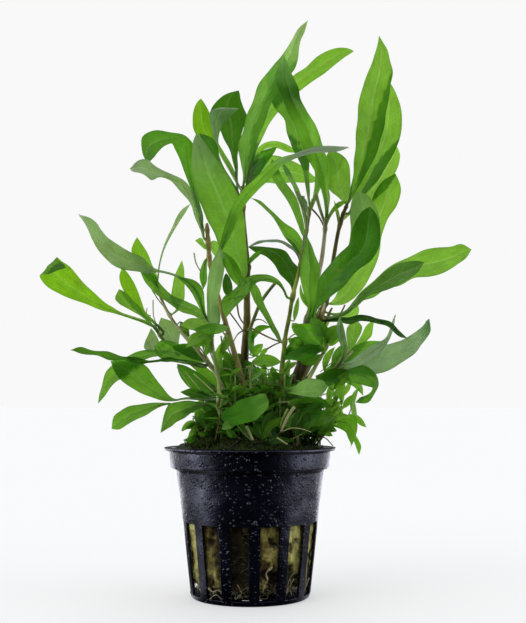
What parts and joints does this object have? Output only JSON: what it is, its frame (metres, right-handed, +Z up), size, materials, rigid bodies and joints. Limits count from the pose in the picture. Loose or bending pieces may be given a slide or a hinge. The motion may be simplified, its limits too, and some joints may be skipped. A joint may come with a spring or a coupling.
{
  "type": "potted hygrophila",
  "caption": "Bushy stem plant with long narrow green leaves on upright stems, rooted in a mineral wool plug in a slotted black net pot.",
  "frame": {"origin": "centre of the pot's underside", "axes": "+Z up along the pot's axis, -Y the front of the plant, +X to the right seen from the front"},
  "size_m": [0.1392, 0.0724, 0.1892],
  "materials": {
    "pot_plastic": "wet black plastic with soft blue-grey highlights",
    "rock_wool": "damp mineral wool, olive and brown",
    "root_fibre": "pale roots",
    "moss": "dark wet growth",
    "stem": "tan to brown herbaceous stems",
    "leaf": "thin translucent leaves with pale midribs, softly glossy",
    "leaf_shaded": "thin leaves in shade, darker green",
    "leaf_sheen": "thin leaves seen with a blue-grey surface sheen"
  },
  "bodies": {
    "root": {"net_pot": "pot_plastic", "rock_wool_plug": "rock_wool", "moss_mat": "moss", "root_tangle": "root_fibre", "stem_left_tall": "stem", "stem_centre": "stem", "stem_branch": "stem", "stem_right_inner": "stem", "stem_right_mid": "stem", "stem_right_back": "stem", "stem_pale_right": "stem", "stem_lower_right": "stem", "stem_left_main": "stem", "stem_left_front": "stem", "stem_left_low": "stem", "leaf_top_tall": "leaf", "leaf_top_front": "leaf", "leaf_top_right": "leaf", "leaf_top_back": "leaf", "leaf_long_arching": "leaf", "leaf_broad_left": "leaf", "leaf_small_upright": "leaf", "leaf_curled_dark": "leaf_sheen", "leaf_dark_behind": "leaf_shaded", "leaf_drooping_left": "leaf_shaded", "leaf_grey_left": "leaf_sheen", "leaf_right_tall": "leaf", "leaf_right_tall_back": "leaf", "leaf_right_behind": "leaf", "leaf_right_inner": "leaf", "leaf_right_broad": "leaf_shaded", "leaf_far_right_long": "leaf", "leaf_far_right_front": "leaf_shaded", "leaf_right_arch_thin": "leaf_shaded", "leaf_lower_right_grey": "leaf_sheen", "leaf_lower_right_curled": "leaf_shaded", "leaf_far_left_folded": "leaf", "leaf_left_grey_green": "leaf_sheen", "leaf_left_bright_tip": "leaf", "leaf_left_round": "leaf", "leaf_left_edge_on": "leaf_shaded", "leaf_lower_left_big": "leaf", "leaf_lower_left_pointed": "leaf", "leaf_lower_left_round": "leaf", "leaf_low_left_hanging": "leaf", "leaf_front_bright": "leaf", "leaf_front_light_right": "leaf", "leaf_centre_dark_arch": "leaf_shaded", "leaf_centre_green_arch": "leaf_shaded", "leaf_centre_strip": "leaf", "leaf_centre_right": "leaf", "leaf_centre_long": "leaf", "leaf_light_right": "leaf", "undergrowth_left": "leaf_shaded", "undergrowth_front": "leaf_shaded", "undergrowth_right": "leaf_shaded", "undergrowth_back": "leaf_shaded", "sprig_right": "leaf_shaded"}
  },
  "joints": []
}
